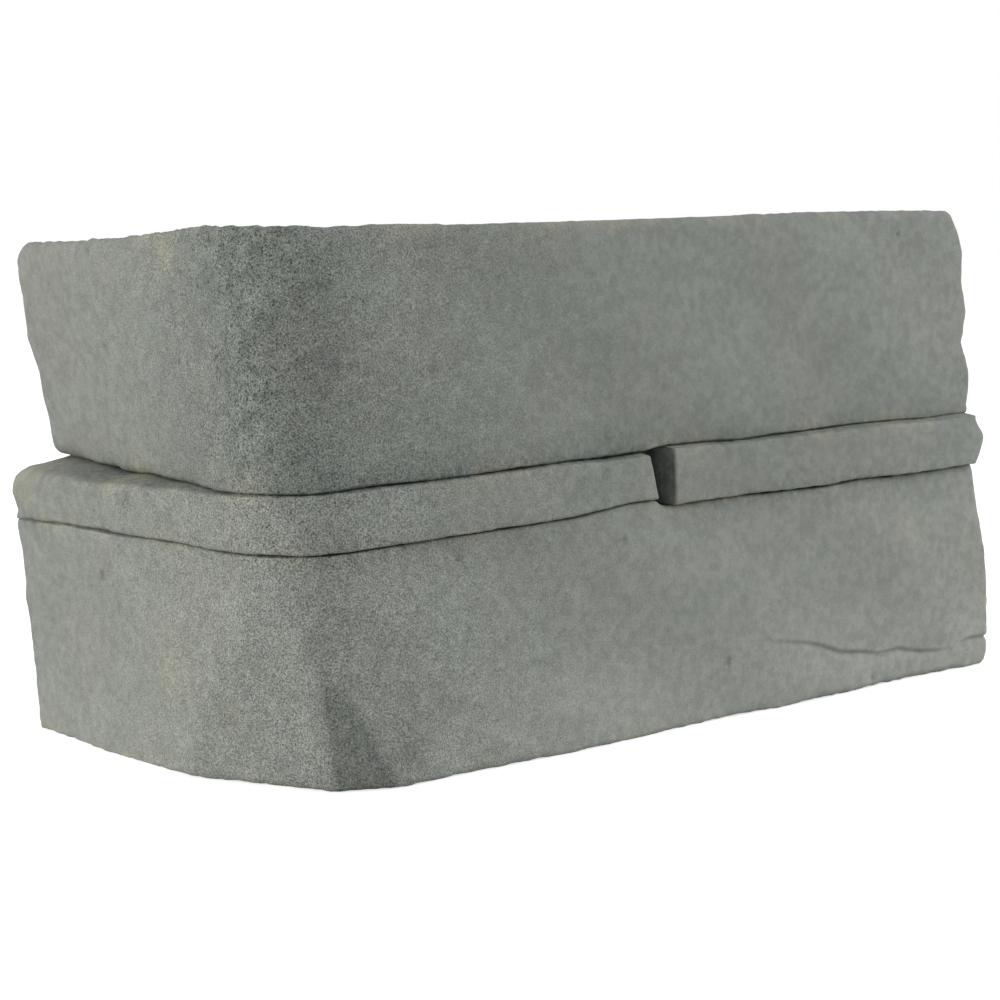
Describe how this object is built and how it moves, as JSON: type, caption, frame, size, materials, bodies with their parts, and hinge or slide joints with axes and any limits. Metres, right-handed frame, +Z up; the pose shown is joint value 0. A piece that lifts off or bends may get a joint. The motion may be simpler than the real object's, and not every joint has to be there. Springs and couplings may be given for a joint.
{
  "type": "concrete siding corner panel",
  "caption": "L-shaped cast concrete siding corner piece; its outer faces copy a thin strip course between worn stone courses.",
  "frame": {"origin": "on the lower bed, under the middle of the piece's outline", "axes": "+X along the long leg away from the corner, +Y along the short leg away from the corner, +Z up"},
  "size_m": [0.2766, 0.1559, 0.1524],
  "materials": {
    "cast_concrete": "rough, sand-grained cast concrete"
  },
  "bodies": {
    "root": {"corner_panel": "cast_concrete"}
  },
  "joints": []
}
